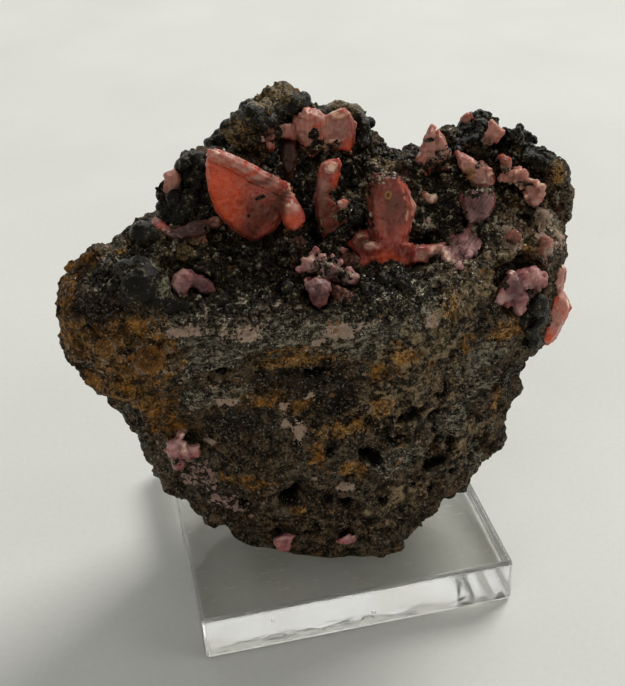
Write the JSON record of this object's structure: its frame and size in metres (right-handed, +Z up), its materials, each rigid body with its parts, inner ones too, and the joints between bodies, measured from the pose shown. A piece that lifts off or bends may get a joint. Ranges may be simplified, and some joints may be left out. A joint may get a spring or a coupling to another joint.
{
  "type": "rhodochrosite crystal specimen on a display block",
  "caption": "Dark iron-oxide rock with red and pink rhodochrosite crystals in a hollow on top, standing on a clear square acrylic block.",
  "frame": {"origin": "centre of the block's underside", "axes": "+X along the block's front edge to the right, +Y away from the front, +Z up"},
  "size_m": [0.1203, 0.0762, 0.1212],
  "materials": {
    "acrylic": "polished clear",
    "limonite": "rough, with glossy black knobs",
    "rhodochrosite_red": "glassy, translucent",
    "rhodochrosite_lilac": "satin, translucent"
  },
  "bodies": {
    "root": {"acrylic_base": "acrylic", "limonite_matrix": "limonite", "blade_crystal": "rhodochrosite_red", "twin_block_crystal": "rhodochrosite_red", "finger_crystal": "rhodochrosite_red", "dome_crystal": "rhodochrosite_red", "twin_tip_crystal": "rhodochrosite_red", "blunt_tip_crystal": "rhodochrosite_red", "peak_crystal": "rhodochrosite_red", "edge_crystal": "rhodochrosite_red", "fan_crystal": "rhodochrosite_lilac", "rim_crystals": "rhodochrosite_lilac", "side_mass_crystal": "rhodochrosite_lilac", "left_crystal": "rhodochrosite_lilac", "lilac_patch_left": "rhodochrosite_lilac", "lilac_patch_centre": "rhodochrosite_lilac", "front_patch": "rhodochrosite_lilac", "foot_patch_left": "rhodochrosite_lilac", "foot_patch_right": "rhodochrosite_lilac"}
  },
  "joints": []
}
